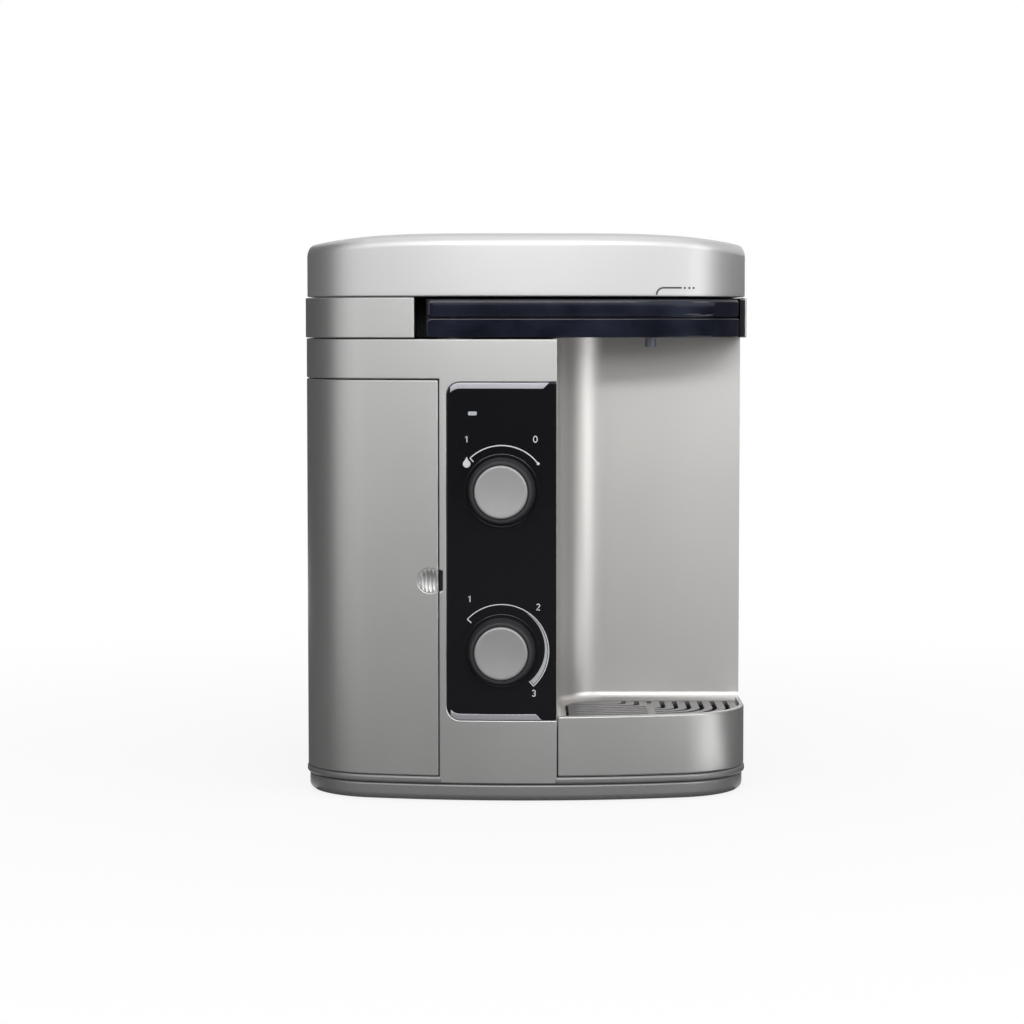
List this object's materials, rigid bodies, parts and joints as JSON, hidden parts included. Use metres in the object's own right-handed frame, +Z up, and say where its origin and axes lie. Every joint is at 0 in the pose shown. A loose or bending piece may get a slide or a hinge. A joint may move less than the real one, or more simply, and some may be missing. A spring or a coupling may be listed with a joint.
{
  "type": "water purifier dispenser",
  "caption": "Counter-top water purifier with a bowed front, swing-out tinted spout arm, tap and temperature knobs, wrap-round filter door and a drip tray with grille.",
  "frame": {"origin": "middle of the footprint box, on the surface that the feet stand on", "axes": "+Z up, the bowed front with the knobs faces -Y, the filter door is on the -X side"},
  "size_m": [0.31, 0.3717, 0.3956],
  "materials": {
    "silver_shell": "satin metallic silver paint",
    "dark_moulding": "moulded black",
    "white_moulding": "moulded white",
    "water_hose": "natural hose",
    "knob_collar": "satin dark grey",
    "knob_cap": "satin silver",
    "steel": "plain",
    "brass": "plain",
    "aluminium": "extruded",
    "foam": "expanded foam",
    "circuit_board": "green board",
    "fascia_black": "gloss black",
    "bright_trim": "bright silver strip",
    "led_lens": "clear window",
    "rubber": "matt",
    "grille_grey": "satin grey",
    "nozzle_grey": "satin grey",
    "tinted_lens": "smoked blue, clear"
  },
  "bodies": {
    "cabinet": {"lid": "silver_shell", "lid_soffit": "dark_moulding", "top_band": "silver_shell", "deck": "dark_moulding", "spindle_bush": "white_moulding", "front_panel": "silver_shell", "fascia": "fascia_black", "fascia_trims": "bright_trim", "led_lens": "led_lens", "control_board": "circuit_board", "valve_bracket": "steel", "tap_valve": "white_moulding", "mixing_valve": "white_moulding", "door_hinge_pins": "steel", "filter_bay": "dark_moulding", "filter_head": "white_moulding", "bay_liner": "silver_shell", "base_pan": "silver_shell", "feet": "rubber", "left_side_panel": "silver_shell", "right_side_panel": "silver_shell", "rear_posts": "steel", "rear_cover": "silver_shell", "rear_screws": "steel", "inlet_fitting": "brass", "mains_gland": "dark_moulding", "tank_stand": "steel", "foam_front": "foam", "foam_rear": "foam", "cold_tank": "steel", "cold_block": "aluminium", "peltier_module": "white_moulding", "heat_sink": "aluminium", "fan_housing": "dark_moulding", "power_supply": "circuit_board", "tee_fitting": "white_moulding", "inlet_hose": "water_hose", "filtered_hose": "water_hose", "tank_hose": "water_hose", "cold_hose": "water_hose", "link_hose": "water_hose", "spout_hose": "water_hose"},
    "spout_arm": {"arm_body": "dark_moulding", "arm_cover": "dark_moulding", "arm_lens_upper": "tinted_lens", "arm_lens_lower": "tinted_lens", "arm_tube": "water_hose", "spout_nozzle": "nozzle_grey", "spout_spindle": "steel"},
    "tap_knob": {"tap_spindle": "brass", "tap_collar": "knob_collar", "tap_cap": "knob_cap"},
    "temperature_knob": {"temp_spindle": "brass", "temp_collar": "knob_collar", "temp_cap": "knob_cap"},
    "door": {"filter_door": "silver_shell"},
    "tray": {"drip_tray": "silver_shell"},
    "grille": {"drip_grille": "grille_grey"},
    "cartridge": {"filter_cartridge": "white_moulding"},
    "fan": {"fan_rotor": "dark_moulding"}
  },
  "joints": [
    {"name": "spout_swing", "type": "hinge", "parent": "cabinet", "child": "spout_arm", "pos_m": [-0.0484, -0.14912, 0.333], "axis": [0, 0, -1], "range_deg": [0, 60]},
    {"name": "tap_turn", "type": "hinge", "parent": "cabinet", "child": "tap_knob", "pos_m": [-0.01698, -0.1702, 0.215], "axis": [0.0378, 0.9993, 0], "range_deg": [0, 97]},
    {"name": "temperature_turn", "type": "hinge", "parent": "cabinet", "child": "temperature_knob", "pos_m": [-0.01698, -0.1702, 0.105], "axis": [0.0378, 0.9993, 0], "range_deg": [0, 184]},
    {"name": "door_swing", "type": "hinge", "parent": "cabinet", "child": "door", "pos_m": [-0.1494, -0.06312, 0.15], "axis": [0, 0, -1], "range_deg": [0, 90]},
    {"name": "tray_slide", "type": "slide", "parent": "cabinet", "child": "tray", "axis": [0, -1, 0], "range_m": [0, 0.13]},
    {"name": "grille_lift", "type": "slide", "parent": "tray", "child": "grille", "axis": [0, 0, 1], "range_m": [0, 0.05]},
    {"name": "filter_twist", "type": "hinge", "parent": "cabinet", "child": "cartridge", "pos_m": [-0.1037, -0.10912, 0.15], "axis": [0, 0, 1], "range_deg": [0, 90]},
    {"name": "fan_spin", "type": "hinge", "parent": "cabinet", "child": "fan", "pos_m": [0.062, 0.155, 0.1754], "axis": [0, 1, 0], "continuous": true}
  ]
}
